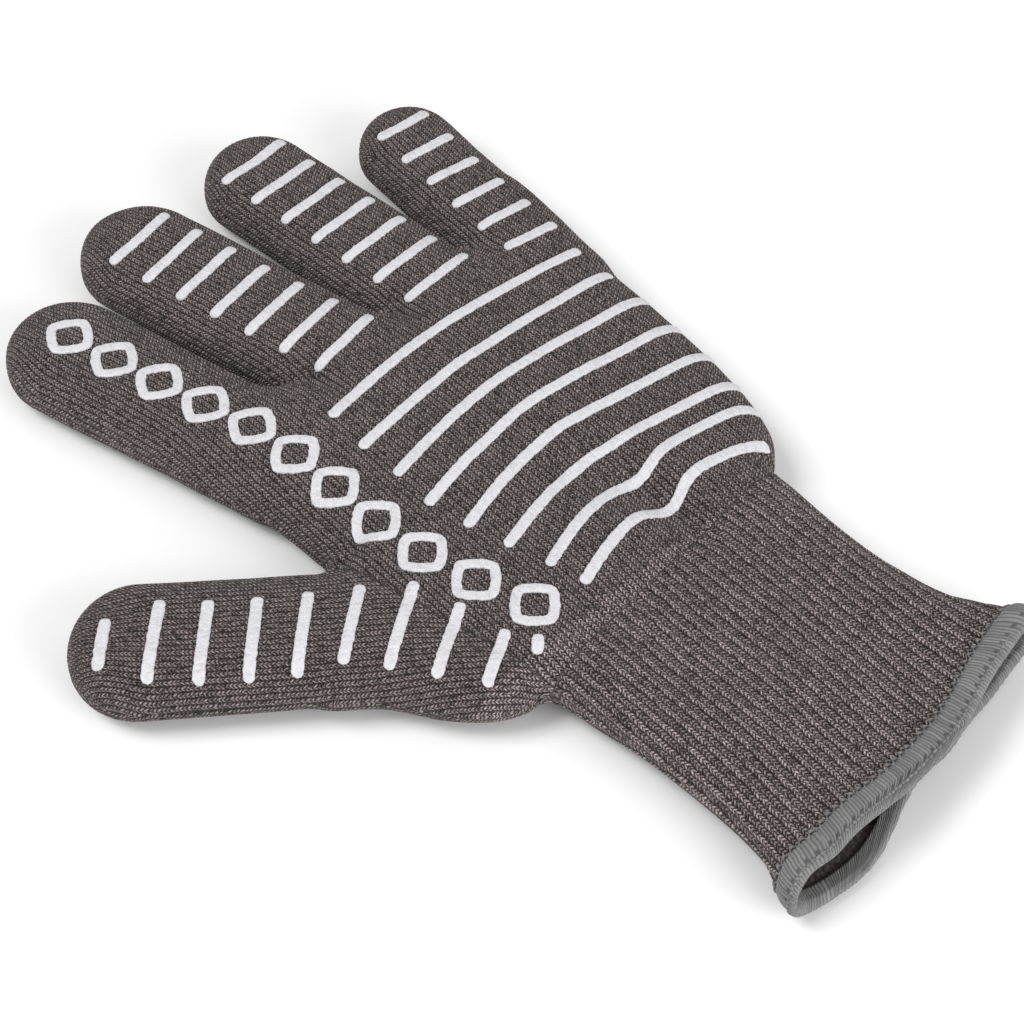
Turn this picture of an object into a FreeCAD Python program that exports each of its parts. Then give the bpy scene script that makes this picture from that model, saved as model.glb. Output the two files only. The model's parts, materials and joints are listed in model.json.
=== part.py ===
import FreeCAD, Part
import Sketcher
import math
import os

# Heat resistant knitted glove, lying flat with its printed grip side up.
# Millimetres. +Y runs from the cuff to the fingertips, +Z points up from the
# rest surface, and the origin is under the middle of the whole glove.

DIGITS = ["thumb", "index", "middle", "ring", "little"]

# ---------------------------------------------------------------- sizes

SIZES = {
    # fabric layers
    "shell_wall": 1.5,
    "liner_gap": 0.2,
    "liner_wall": 1.3,
    # flattened heights of each region when the glove lies empty
    "digit_high": 20.0,
    "thenar_high": 21.0,
    "cuff_high": 22.0,
    "palm_high": 24.0,
    # how rounded the folded sides are
    "digit_round": 9.8,
    "thenar_round": 9.0,
    "cuff_round": 10.0,
    "palm_round": 11.0,
    # flex lines: a slit through the fabric, opened to a relief on the palm side
    "flex_slit": 0.6,
    "flex_level": 0.7,
    "flex_spare": 1.5,
    "knuckle_bend": 60.0,
    "middle_bend": 70.0,
    "wrist_bend": 35.0,
    # silicone print
    "print_gap": 0.05,
    "print_thick": 0.8,
    "stripe_wide": 3.3,
    "stripe_pitch": 13.3,
    "mark_pitch": 17.0,
    "mark_side": 10.0,
    "mark_stroke": 3.0,
    "middle_stripe": 27.0,
    "ring_stripe": 27.0,
    "little_stripe": 20.0,
    # sideways places of the digits: middle finger and thumb, then the clear
    # space between neighbours at their knuckles
    "thumb_x": -62.2,
    "middle_x": 14.2,
    "index_gap": 3.95,
    "ring_gap": 2.05,
    "little_gap": 1.35,
    # palm outline
    "web_y": 67.0,
    "heel_left_x": -29.5,
    "heel_right_x": 94.5,
    "heel_up": 6.0,
    "heel_right_up": 4.0,
    "heel_left_round": 22.0,
    "heel_right_round": 32.0,
    "shoulder_round": 12.0,
    "index_shoulder": 4.75,
    "little_shoulder": 3.1,
    # swell at the root of the thumb, measured in the thumb's own frame
    "thenar_start": 18.0,
    "thenar_start_half": 19.0,
    "thenar_swell": 33.5,
    "thenar_swell_at": 60.0,
    "thenar_swell_round": 22.0,
    "thenar_end": 90.0,
    "thenar_end_left": 20.0,
    "thenar_end_right": 24.0,
    "thenar_corner_round": 12.0,
    # cuff
    "wrist_y": -75.0,
    "wrist_left_x": -20.5,
    "wrist_right_x": 78.0,
    "sleeve_left_x": -16.0,
    "sleeve_right_x": 80.0,
    "flare_left_x": -22.5,
    "flare_right_x": 91.5,
    "flare_left_long": 12.0,
    "flare_right_long": 34.0,
    "sleeve_bend_round": 20.0,
    "rim_y": -149.9,
    "rim_x": 34.0,
    "rim_slope": 7.4,
    "binding_long": 7.6,
    "binding_thick": 1.1,
    "binding_gap": 0.05,
    # how far the digit tubes run back into the palm
    "digit_root": 26.0,
}

# Each digit: y of its knuckle flex line, sideways lean, width and length beyond
# the knuckle.
DIGIT_SIZES = {
    "thumb": (-4.1, 51.9, 41.4, 55.5),
    "index": (79.0, 14.0, 39.5, 60.8),
    "middle": (81.5, 12.0, 40.0, 77.4),
    "ring": (83.9, 5.0, 37.5, 73.8),
    "little": (77.5, -5.0, 33.0, 58.3),
}
DIGIT_FIELDS = ["y", "lean", "wide", "long"]

# How many print pitches lie between a digit's knuckle and middle flex lines.
MIDDLE_STEPS = {"thumb": 2, "index": 2, "middle": 3, "ring": 3, "little": 2}

# Thumb stripes from the tip down to the thumb's root: middle and length, and
# how many pitches past the knuckle flex line each one is.
THUMB_STRIPES = [
    ("tip", 3, -3.5, 18.0),
    ("tip", 2, -3.5, 26.5),
    ("base", 1, -4.5, 26.5),
    ("base", 0, -4.5, 26.5),
    ("root", -1, -4.5, 26.5),
    ("root", -2, -4.5, 26.5),
    ("root", -3, -9.0, 30.5),
    ("root", -4, -15.5, 28.0),
    ("root", -5, -21.0, 20.5),
    ("root", -6, -18.0, 9.0),
]

# Palm stripes from the fingers down to the heel: x of each end.
PALM_STRIPE_FIRST_Y = 44.5
PALM_STRIPES = [
    (-3.0, 96.0),
    (-4.0, 96.5),
    (-3.0, 97.0),
    (-3.0, 96.0),
    (-1.0, 95.0),
    (2.5, 93.0),
    (6.0, 88.0),
    (8.5, 80.5),
]

# Diamond marks that carry on from the index finger down the palm: x of each.
PALM_MARK_FIRST_Y = 37.3
PALM_MARKS = [-21.5, -21.0, -20.5, -18.5, -14.0, -8.0]

doc = FreeCAD.newDocument("heat_resistant_glove")
sheet = doc.addObject("Spreadsheet::Sheet", "Sizes")


def fill_sheet():
    """Write every size into its own named cell."""
    cells = dict(SIZES)
    for digit in DIGITS:
        for field, value in zip(DIGIT_FIELDS, DIGIT_SIZES[digit]):
            cells[digit + "_" + field] = value
    cells["palm_stripe_first"] = PALM_STRIPE_FIRST_Y
    for number, ends in enumerate(PALM_STRIPES):
        cells["palm_stripe_left_" + "abcdefgh"[number]] = ends[0]
        cells["palm_stripe_right_" + "abcdefgh"[number]] = ends[1]
    for number, stripe in enumerate(THUMB_STRIPES):
        cells["thumb_stripe_x_" + "abcdefghij"[number]] = stripe[2]
        cells["thumb_stripe_long_" + "abcdefghij"[number]] = stripe[3]
    cells["palm_mark_first"] = PALM_MARK_FIRST_Y
    for number, place in enumerate(PALM_MARKS):
        cells["palm_mark_x_" + "abcdefgh"[number]] = place
    for row, (alias, value) in enumerate(cells.items(), start=1):
        sheet.set("A%d" % row, alias)
        sheet.set("B%d" % row, str(value))
        sheet.setAlias("B%d" % row, alias)
    doc.recompute()


fill_sheet()


def value_of(expression):
    """What an expression of named cells comes to now."""
    return float(sheet.evalExpression(expression))


def digit_x(digit):
    """Sideways place of a digit's knuckle: each finger clears its neighbour."""
    if digit in ("thumb", "middle"):
        return "Sizes.%s_x" % digit
    if digit == "index":
        return "(Sizes.middle_x - (Sizes.middle_wide + Sizes.index_wide) / 2 - Sizes.index_gap)"
    inner = {"ring": "middle", "little": "ring"}[digit]
    return "(%s + (Sizes.%s_wide + Sizes.%s_wide) / 2 + Sizes.%s_gap)" % (
        digit_x(inner), inner, digit, digit
    )


def digit_mid(digit):
    """Distance from a digit's knuckle to its middle flex line."""
    pitch = "mark_pitch" if digit == "index" else "stripe_pitch"
    return "(%d * Sizes.%s)" % (MIDDLE_STEPS[digit], pitch)


def place(digit):
    """Placement of a digit's own frame, as an expression."""
    return (
        "placement(vector(%s; Sizes.%s_y; 0); "
        "rotation(vector(0; 0; 1); Sizes.%s_lean))" % (digit_x(digit), digit, digit)
    )


def bind(feature, **expressions):
    """Tie properties of a feature to sheet expressions."""
    for name, expression in expressions.items():
        feature.setExpression(name.replace("__", "."), expression)


def add(kind, name, **values):
    """Add a feature and set its plain properties."""
    feature = doc.addObject(kind, name)
    for key, value in values.items():
        setattr(feature, key, value)
    return feature


def fuse(name, shapes):
    """Join shapes into one; a single shape is used as it is."""
    if len(shapes) == 1:
        return shapes[0]
    return add("Part::MultiFuse", name, Shapes=shapes, Refine=True)


def cut(name, base, tool):
    return add("Part::Cut", name, Base=base, Tool=tool)


def common(name, base, tool):
    return add("Part::Common", name, Base=base, Tool=tool)


def moved(name, shape, placement):
    """The same shape set down somewhere else."""
    copy = add("Part::Compound", name, Links=[shape])
    if placement:
        bind(copy, Placement=placement)
    return copy


def box(name, x, y, z, wide, deep, high):
    """A box from its low corner and sizes, each an expression."""
    solid = add("Part::Box", name)
    bind(solid, Placement__Base__x=x, Placement__Base__y=y, Placement__Base__z=z)
    bind(solid, Length=wide, Width=deep, Height=high)
    return solid


# ---------------------------------------------------------------- flat plates


def miter(points):
    """How each corner moves when the outline grows outward by one."""
    moves = []
    for number, here in enumerate(points):
        before = points[number - 1]
        after = points[(number + 1) % len(points)]
        normals = []
        for start, end in ((before, here), (here, after)):
            dx = end[0] - start[0]
            dy = end[1] - start[1]
            length = math.hypot(dx, dy)
            normals.append((dy / length, -dx / length))
        (ax, ay), (bx, by) = normals
        scale = 1.0 + ax * bx + ay * by
        turn = ax * by - ay * bx
        moves.append(((ax + bx) / scale, (ay + by) / scale, 1 if turn > 0 else -1))
    return moves


def plate(name, corners, high, edge, grow, low="0"):
    """A flat slab with rounded corners and rounded folded sides.

    corners hold x, y and radius expressions, counter-clockwise.
    grow is an expression for how far every face moves outward.
    low and high are expressions for the levels of its two flat faces.
    """
    points = [(value_of(x), value_of(y)) for x, y, r in corners]
    moves = miter(points)
    body = doc.addObject("PartDesign::Body", name)
    sketch = body.newObject("Sketcher::SketchObject", name + "_outline")
    plane = [f for f in body.Origin.OriginFeatures if f.Role == "XY_Plane"][0]
    sketch.AttachmentSupport = [(plane, "")]
    sketch.MapMode = "FlatFace"
    bind(sketch, AttachmentOffset__Base__z="%s - (%s)" % (low, grow))
    count = len(points)
    for number in range(count):
        start = FreeCAD.Vector(points[number][0], points[number][1], 0)
        follow = points[(number + 1) % count]
        sketch.addGeometry(Part.LineSegment(start, FreeCAD.Vector(follow[0], follow[1], 0)))
    for number in range(count):
        sketch.addConstraint(
            Sketcher.Constraint("Coincident", number, 2, (number + 1) % count, 1)
        )
    for number, (x, y, r) in enumerate(corners):
        across, along, sense = moves[number]
        for kind, expression, move in (("DistanceX", x, across), ("DistanceY", y, along)):
            index = sketch.addConstraint(
                Sketcher.Constraint(kind, -1, 1, number, 1, value_of(expression))
            )
            sketch.setExpression(
                "Constraints[%d]" % index, "%s + (%s) * (%.6f)" % (expression, grow, move)
            )
    pad = body.newObject("PartDesign::Pad", name + "_pad")
    pad.Profile = sketch
    bind(pad, Length="%s - (%s) + 2 * (%s)" % (high, low, grow))
    doc.recompute()
    last = pad
    for number, (x, y, r) in enumerate(corners):
        corner = sketch.getPoint(number, 1)
        fillet = body.newObject("PartDesign::Fillet", "%s_corner_%s" % (name, "abcdefgh"[number]))
        fillet.Base = (last, [upright_edge(last.Shape, corner)])
        bind(fillet, Radius="%s + (%s) * (%d)" % (r, grow, moves[number][2]))
        doc.recompute()
        last = fillet
    fillet = body.newObject("PartDesign::Fillet", name + "_sides")
    fillet.Base = (last, level_edges(last.Shape))
    bind(fillet, Radius="%s + (%s)" % (edge, grow))
    body.Tip = fillet
    doc.recompute()
    return body


def upright_edge(shape, corner):
    """Name of the vertical edge standing on a corner."""
    for number, edge in enumerate(shape.Edges, start=1):
        ends = [v.Point for v in edge.Vertexes]
        if len(ends) != 2 or abs(ends[0].z - ends[1].z) < 1.0:
            continue
        if all(math.hypot(p.x - corner.x, p.y - corner.y) < 1e-4 for p in ends):
            return "Edge%d" % number
    raise RuntimeError("no vertical edge at %s" % corner)


def level_edges(shape):
    """Names of all edges round the top and bottom faces."""
    low = shape.BoundBox.ZMin
    high = shape.BoundBox.ZMax
    names = []
    for number, edge in enumerate(shape.Edges, start=1):
        bounds = edge.BoundBox
        if bounds.ZMax - bounds.ZMin > 1e-4:
            continue
        if min(abs(bounds.ZMin - low), abs(bounds.ZMin - high)) < 1e-4:
            names.append("Edge%d" % number)
    return names


def palm_corners():
    """The palm from the heel to the webs between the fingers."""
    index_side = "%s - Sizes.index_wide / 2 + Sizes.index_shoulder" % digit_x("index")
    little_side = "%s + Sizes.little_wide / 2 - Sizes.little_shoulder" % digit_x("little")
    return [
        ("Sizes.heel_left_x", "Sizes.wrist_y + Sizes.heel_up", "Sizes.heel_left_round"),
        (
            "Sizes.heel_right_x",
            "Sizes.wrist_y + Sizes.heel_up + Sizes.heel_right_up",
            "Sizes.heel_right_round",
        ),
        (little_side, "Sizes.web_y", "Sizes.shoulder_round"),
        (index_side, "Sizes.web_y", "Sizes.shoulder_round"),
    ]


def thenar_corners():
    """The swell at the thumb's root, in the thumb's own frame."""
    corner = "Sizes.thenar_corner_round"
    return [
        ("-Sizes.thenar_start_half", "-Sizes.thenar_start", corner),
        ("-Sizes.thenar_swell", "-Sizes.thenar_swell_at", "Sizes.thenar_swell_round"),
        ("-Sizes.thenar_end_left", "-Sizes.thenar_end", corner),
        ("Sizes.thenar_end_right", "-Sizes.thenar_end", corner),
        ("Sizes.thenar_start_half", "-Sizes.thenar_start", corner),
    ]


def cuff_corners():
    """The sleeve from inside the heel to past the rim, where it flares."""
    corner = "Sizes.shoulder_round"
    bend = "Sizes.sleeve_bend_round"
    top = "Sizes.wrist_y + 35"
    past = "Sizes.rim_y - 28"
    return [
        ("Sizes.wrist_left_x", top, corner),
        ("Sizes.sleeve_left_x", "Sizes.rim_y + Sizes.flare_left_long", bend),
        ("Sizes.flare_left_x", past, corner),
        ("Sizes.flare_right_x", past, corner),
        ("Sizes.sleeve_right_x", "Sizes.rim_y + Sizes.flare_right_long", bend),
        ("Sizes.wrist_right_x", top, corner),
    ]


def digit_corners(digit):
    """A digit's outline: straight sides and a round tip, knuckle at y = 0."""
    half = "Sizes.%s_wide / 2" % digit
    back = "-Sizes.digit_root"
    front = "Sizes.%s_long" % digit
    tip_round = half + " - 0.05"
    return [
        ("-" + half, back, "4"),
        (half, back, "4"),
        (half, front, tip_round),
        ("-" + half, front, tip_round),
    ]


LAYERS = {
    "outside": "0",
    "inside": "-Sizes.shell_wall",
    "liner_outside": "-Sizes.shell_wall - Sizes.liner_gap",
    "liner_inside": "-Sizes.shell_wall - Sizes.liner_gap - Sizes.liner_wall",
}


# ---------------------------------------------------------------- flex lines


def notch(name, wide, y, high, bend):
    """Slit across a tube with a relief above the hinge axis for the bend."""
    slit = box(
        name + "_slit",
        "-(%s) / 2 - 3" % wide,
        "%s - Sizes.flex_slit / 2" % y,
        "-2",
        "%s + 6" % wide,
        "Sizes.flex_slit",
        "%s + 8" % high,
    )
    rise = "((1 - Sizes.flex_level) * %s + 6)" % high
    lean = "tan((%s / 2 + Sizes.flex_spare) * 1deg)" % bend
    relief = add("Part::Wedge", name + "_relief")
    relief.Placement = FreeCAD.Placement(
        FreeCAD.Vector(0, 0, 0), FreeCAD.Rotation(FreeCAD.Vector(1, 0, 0), 90)
    )
    bind(relief, Placement__Base__y=y, Placement__Base__z="Sizes.flex_level * %s" % high)
    bind(
        relief,
        Xmin="-(%s) / 2 - 3" % wide,
        X2min="-(%s) / 2 - 3" % wide,
        Xmax="(%s) / 2 + 3" % wide,
        X2max="(%s) / 2 + 3" % wide,
        Ymin="0",
        Ymax=rise,
        Zmin="-Sizes.flex_slit / 2",
        Zmax="Sizes.flex_slit / 2",
        Z2min="-Sizes.flex_slit / 2 - %s * %s" % (rise, lean),
        Z2max="Sizes.flex_slit / 2 + %s * %s" % (rise, lean),
    )
    return fuse(name, [slit, relief])


def digit_span(name, digit, start, end):
    """Everything of a digit between two distances from its knuckle."""
    return box(
        name,
        "-Sizes.%s_wide / 2 - 0.3" % digit,
        start,
        "-6",
        "Sizes.%s_wide + 0.6" % digit,
        "%s - (%s)" % (end, start),
        "Sizes.palm_high + 12",
    )


# ---------------------------------------------------------------- plates


def cuff_plate(name, grow):
    """The cuff is held off the rest surface by the tape folded over its rim."""
    low = "(Sizes.binding_gap + Sizes.binding_thick)"
    return plate(name, cuff_corners(), "Sizes.cuff_high", "Sizes.cuff_round", grow, low)


plates = {}
for layer, grow in LAYERS.items():
    plates["palm", layer] = plate(
        "palm_" + layer, palm_corners(), "Sizes.palm_high", "Sizes.palm_round", grow
    )
    plates["thenar", layer] = plate(
        "thenar_" + layer, thenar_corners(), "Sizes.thenar_high", "Sizes.thenar_round", grow
    )
    plates["cuff", layer] = cuff_plate("cuff_" + layer, grow)
    for digit in DIGITS:
        plates[digit, layer] = plate(
            digit + "_" + layer, digit_corners(digit), "Sizes.digit_high", "Sizes.digit_round", grow
        )

nodes = []


def finish(name, feature, placement=None):
    """Name a finished sub-part and set it in place."""
    feature.Label = name
    if placement:
        bind(feature, Placement=placement)
    nodes.append((name, feature))


# ---------------------------------------------------------------- digits

digit_ends = []
digit_notches = {}
for digit in DIGITS:
    wide = "Sizes.%s_wide" % digit
    mid = digit_mid(digit)
    knuckle = notch(digit + "_knuckle", wide, "0", "Sizes.digit_high", "Sizes.knuckle_bend")
    middle = notch(digit + "_middle", wide, mid, "Sizes.digit_high", "Sizes.middle_bend")
    digit_notches[digit] = fuse(digit + "_notches", [knuckle, middle])
    base_span = digit_span(digit + "_base_span", digit, "0", mid)
    tip_span = digit_span(digit + "_tip_span", digit, mid, "Sizes.%s_long + 5" % digit)
    beyond = digit_span(digit + "_beyond", digit, "0", "Sizes.%s_long + 5" % digit)
    end = fuse(digit + "_end", [knuckle, beyond])
    digit_ends.append(moved(digit + "_end_placed", end, place(digit)))
    for cloth, outer, inner in (
        ("shell", "outside", "inside"),
        ("liner", "liner_outside", "liner_inside"),
    ):
        tube = cut("%s_%s_tube" % (digit, cloth), plates[digit, outer], plates[digit, inner])
        for section, span in (("base", base_span), ("tip", tip_span)):
            name = "%s_%s_%s" % (digit, section, cloth)
            piece = common(name + "_length", tube, span)
            finish(name, cut(name, piece, digit_notches[digit]), place(digit))

# ---------------------------------------------------------------- hand and cuff

wrist_notch_local = notch("wrist_notch", "180", "0", "Sizes.cuff_high", "Sizes.wrist_bend")
wrist_notch = moved(
    "wrist_notch_placed",
    wrist_notch_local,
    "placement(vector(28; Sizes.wrist_y; 0); rotation(vector(0; 0; 1); 0))",
)
below_wrist = box("below_wrist", "-70", "Sizes.wrist_y - 120", "-6", "220", "120", "50")
hand_end = fuse("hand_end", digit_ends + [wrist_notch, below_wrist])

hand_solids = {}
for layer in LAYERS:
    parts = [plates["palm", layer], plates["cuff", layer]]
    parts.append(moved("thenar_%s_placed" % layer, plates["thenar", layer], place("thumb")))
    for digit in DIGITS:
        parts.append(moved("%s_%s_placed" % (digit, layer), plates[digit, layer], place(digit)))
    hand_solids[layer] = fuse("hand_" + layer, parts)

RIM_PLACE = (
    "placement(vector(Sizes.rim_x; Sizes.rim_y; 0); rotation(vector(0; 0; 1); Sizes.rim_slope))"
)
below_rim_local = box(
    "below_rim", "-100", "-80", "-6", "200", "80 + Sizes.binding_thick + Sizes.binding_gap", "50"
)
below_rim = moved("below_rim_placed", below_rim_local, RIM_PLACE)
cuff_cut = fuse("cuff_cut", [wrist_notch, below_rim])

for cloth, outer, inner in (
    ("shell", "outside", "inside"),
    ("liner", "liner_outside", "liner_inside"),
):
    hollow = cut("hand_%s_hollow" % cloth, hand_solids[outer], hand_solids[inner])
    finish("hand_" + cloth, cut("hand_" + cloth, hollow, hand_end))
    sleeve = cut("cuff_%s_sleeve" % cloth, plates["cuff", outer], plates["cuff", inner])
    lower = common("cuff_%s_lower" % cloth, sleeve, below_wrist)
    finish("cuff_" + cloth, cut("cuff_" + cloth, lower, cuff_cut))


def cuff_binding():
    """Overlocked tape folded over the raw edges of shell and liner."""
    walls = "(Sizes.shell_wall + Sizes.liner_gap + Sizes.liner_wall)"
    grows = {
        "binding_outside": "Sizes.binding_gap + Sizes.binding_thick",
        "binding_slot_outside": "Sizes.binding_gap",
        "binding_slot_inside": "-%s - Sizes.binding_gap" % walls,
        "binding_inside": "-%s - Sizes.binding_gap - Sizes.binding_thick" % walls,
    }
    rings = {}
    for name, grow in grows.items():
        rings[name] = cuff_plate(name, grow)
    tape = cut("binding_ring", rings["binding_outside"], rings["binding_inside"])
    slot = cut("binding_slot", rings["binding_slot_outside"], rings["binding_slot_inside"])
    band = box("binding_band", "-100", "0", "-6", "200", "Sizes.binding_long", "50")
    room = box("binding_room", "-100", "Sizes.binding_thick", "-6", "200", "20", "50")
    tape_band = common("binding_tape", tape, moved("binding_band_placed", band, RIM_PLACE))
    slot_band = common("binding_slot_band", slot, moved("binding_room_placed", room, RIM_PLACE))
    finish("cuff_binding", cut("cuff_binding", tape_band, slot_band))


cuff_binding()

# ---------------------------------------------------------------- silicone print


def print_layer(name, solid):
    """The thin skin that lies just above a solid's upper surface."""
    raised = "placement(vector(0; 0; %s); rotation(vector(0; 0; 1); 0))"
    upper = moved(name + "_upper", solid, raised % "Sizes.print_gap + Sizes.print_thick")
    lower = moved(name + "_lower", solid, raised % "Sizes.print_gap")
    return cut(name, upper, lower)


def bar(name, x, y, long, placement=None):
    """Upright cutter in the shape of one round-ended stripe."""
    half = "(%s - Sizes.stripe_wide) / 2" % long
    middle = box(
        name + "_middle",
        "%s - %s" % (x, half),
        "%s - Sizes.stripe_wide / 2" % y,
        "Sizes.digit_high * 0.55",
        "2 * " + half,
        "Sizes.stripe_wide",
        "Sizes.palm_high",
    )
    ends = []
    for side, sign in (("left", "-"), ("right", "+")):
        end = add("Part::Cylinder", "%s_%s" % (name, side))
        bind(
            end,
            Radius="Sizes.stripe_wide / 2",
            Height="Sizes.palm_high",
            Placement__Base__x="%s %s %s" % (x, sign, half),
            Placement__Base__y=y,
            Placement__Base__z="Sizes.digit_high * 0.55",
        )
        ends.append(end)
    cutter = fuse(name + "_bar", [middle] + ends)
    if placement:
        bind(cutter, Placement=placement)
    return cutter


def diamond(name, x, y):
    """Upright cutter in the shape of one open diamond."""
    rings = []
    for part, side in (("out", "Sizes.mark_side"), ("in", "(Sizes.mark_side - 2 * Sizes.mark_stroke)")):
        half = "-%s / 2" % side
        rings.append(
            box("%s_%s" % (name, part), half, half, "Sizes.digit_high * 0.55", side, side, "Sizes.palm_high")
        )
    ring = cut(name, rings[0], rings[1])
    bind(ring, Placement="placement(vector(%s; %s; 0); rotation(vector(0; 0; 1); 45))" % (x, y))
    return ring


hand_layer = print_layer("hand_print", hand_solids["outside"])
digit_layers = {}
for digit in DIGITS:
    digit_layers[digit] = print_layer(digit + "_print", plates[digit, "outside"])

for number in range(len(PALM_STRIPES)):
    letter = "abcdefgh"[number]
    left = "Sizes.palm_stripe_left_" + letter
    right = "Sizes.palm_stripe_right_" + letter
    name = "palm_stripe_%d" % (number + 1)
    cutter = bar(
        name,
        "(%s + %s) / 2" % (left, right),
        "(Sizes.palm_stripe_first - %d * Sizes.stripe_pitch)" % number,
        "(%s - %s)" % (right, left),
    )
    finish(name, common(name, hand_layer, cutter))


def stripe_y(step):
    """Distance of a digit stripe from the knuckle flex line."""
    return "((%d + 0.5) * Sizes.stripe_pitch)" % step


def finger_stripes(digit, first, last):
    """Separate stripes up a finger, from those on the palm side to the tip."""
    for number, step in enumerate(range(first, last), start=1):
        name = "%s_stripe_%d" % (digit, number)
        long = "Sizes.%s_stripe" % digit
        if step < 0:
            cutter = bar(name, "0", stripe_y(step), long, place(digit))
            finish(name, common(name, hand_layer, cutter))
        else:
            cutter = bar(name, "0", stripe_y(step), long)
            finish(name, common(name, digit_layers[digit], cutter), place(digit))


finger_stripes("middle", -2, 5)
finger_stripes("ring", -2, 5)
finger_stripes("little", -2, 4)


def thumb_stripes():
    """The thumb's stripes, one group on each section."""
    groups = {"root": [], "base": [], "tip": []}
    for number, (section, step, middle, long) in enumerate(THUMB_STRIPES):
        letter = "abcdefghij"[number]
        name = "thumb_stripe_%d" % (number + 1)
        x = "Sizes.thumb_stripe_x_" + letter
        groups[section].append(bar(name, x, stripe_y(step), "Sizes.thumb_stripe_long_" + letter))
    for section, bars in groups.items():
        name = "thumb_stripes_" + section
        group = fuse(name + "_bars", bars)
        if section == "root":
            placed = moved(name + "_placed", group, place("thumb"))
            finish(name, common(name, hand_layer, placed))
        else:
            finish(name, common(name, digit_layers["thumb"], group), place("thumb"))


thumb_stripes()


def index_marks():
    """Open diamonds along the index finger and down beside the palm stripes."""
    local_steps = {"root": (-2, -1), "base": (0, 1), "tip": (2,)}
    groups = {}
    for section, steps in local_steps.items():
        marks = []
        for step in steps:
            y = "((%d + 0.5) * Sizes.mark_pitch)" % step
            marks.append(diamond("index_mark_%s_%d" % (section, step + 3), "0", y))
        groups[section] = fuse("index_marks_%s_group" % section, marks)
    palm_marks = [moved("index_marks_root_placed", groups["root"], place("index"))]
    for number in range(len(PALM_MARKS)):
        x = "Sizes.palm_mark_x_" + "abcdefgh"[number]
        y = "(Sizes.palm_mark_first - %d * Sizes.mark_pitch)" % number
        palm_marks.append(diamond("palm_mark_%d" % (number + 1), x, y))
    palm_group = fuse("palm_marks_group", palm_marks)
    printed = common("palm_marks_printed", hand_layer, palm_group)
    finish("index_marks_palm", cut("index_marks_palm", printed, hand_end))
    for section in ("base", "tip"):
        name = "index_marks_" + section
        printed = common(name + "_printed", digit_layers["index"], groups[section])
        finish(name, cut(name, printed, digit_notches["index"]), place("index"))


index_marks()

# ---------------------------------------------------------------- check and write

doc.recompute()


def check_document():
    """Stop if anything failed to build."""
    for feature in doc.Objects:
        if "Invalid" in feature.State or "Error" in feature.State:
            raise RuntimeError("%s did not build" % feature.Name)
        if hasattr(feature, "Shape") and feature.isDerivedFrom("Part::Feature"):
            if feature.Shape.isNull():
                raise RuntimeError("%s is empty" % feature.Name)
    for name, feature in nodes:
        shape = feature.Shape
        if not shape.isValid() or not shape.Solids or shape.Volume <= 0:
            raise RuntimeError("%s has no sound solid" % name)


def write_nodes():
    """One STEP file for each sub-part."""
    os.makedirs("parts", exist_ok=True)
    for name, feature in nodes:
        feature.Shape.exportStep("parts/%s.step" % name)


check_document()
write_nodes()
for name, feature in nodes:
    bounds = feature.Shape.BoundBox
    print(
        "%-22s solids %d volume %.0f x %.1f %.1f y %.1f %.1f z %.1f %.1f"
        % (name, len(feature.Shape.Solids), feature.Shape.Volume,
           bounds.XMin, bounds.XMax, bounds.YMin, bounds.YMax, bounds.ZMin, bounds.ZMax)
    )
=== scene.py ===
"""Heat resistant glove lying flat with its printed side up.

A knitted shell with stitched relief, its liner, the overlocked rim and the silicone print, built round the
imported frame. Lengths are in millimetres in the row frame until a mesh is made; the digits' places come from
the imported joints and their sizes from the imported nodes.
"""

import json
import math

import bmesh
import bpy
import numpy as np
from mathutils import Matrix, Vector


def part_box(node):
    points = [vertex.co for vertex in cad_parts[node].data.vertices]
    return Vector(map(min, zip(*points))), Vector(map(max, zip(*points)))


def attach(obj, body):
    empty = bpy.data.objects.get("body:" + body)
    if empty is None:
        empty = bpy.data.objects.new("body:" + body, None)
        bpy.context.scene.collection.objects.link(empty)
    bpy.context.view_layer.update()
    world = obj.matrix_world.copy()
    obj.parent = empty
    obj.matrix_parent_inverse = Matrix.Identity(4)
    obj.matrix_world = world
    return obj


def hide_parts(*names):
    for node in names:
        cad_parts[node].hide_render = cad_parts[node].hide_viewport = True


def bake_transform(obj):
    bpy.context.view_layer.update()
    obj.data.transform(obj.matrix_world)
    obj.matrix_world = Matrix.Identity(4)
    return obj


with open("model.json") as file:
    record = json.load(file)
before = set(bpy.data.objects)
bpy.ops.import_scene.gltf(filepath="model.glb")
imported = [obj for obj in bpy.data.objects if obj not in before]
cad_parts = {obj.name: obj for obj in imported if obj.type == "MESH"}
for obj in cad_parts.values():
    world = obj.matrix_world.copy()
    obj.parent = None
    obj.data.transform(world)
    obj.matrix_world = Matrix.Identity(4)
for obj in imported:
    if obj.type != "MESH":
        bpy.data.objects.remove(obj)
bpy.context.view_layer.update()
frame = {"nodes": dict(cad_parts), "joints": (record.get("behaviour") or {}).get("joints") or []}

MM = 0.001
GRID = 0.5  # spacing of the fields and of the shell's mesh
LINER_GRID = 1.0
LINER_INSET = 1.9
DIGITS = ("thumb", "index", "middle", "ring", "little")
joints = {joint["name"]: joint for joint in frame["joints"]}


# ---- small helpers
FAR = 1e9  # a distance that anything is nearer than
LATTICE = 64  # random values along each side of the noise before it repeats
LATTICE_START = (17.3, 23.7)  # where the plan's origin falls among them


def smoothstep(value):
    t = np.clip(value, 0.0, 1.0)
    return t * t * (3 - 2 * t)


def smooth_min(a, b, width):
    """The smaller of two distances, rounded over width where they meet."""
    h = np.clip(width - np.abs(a - b), 0, None)
    return np.minimum(a, b) - h * h / (4 * width)


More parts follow.
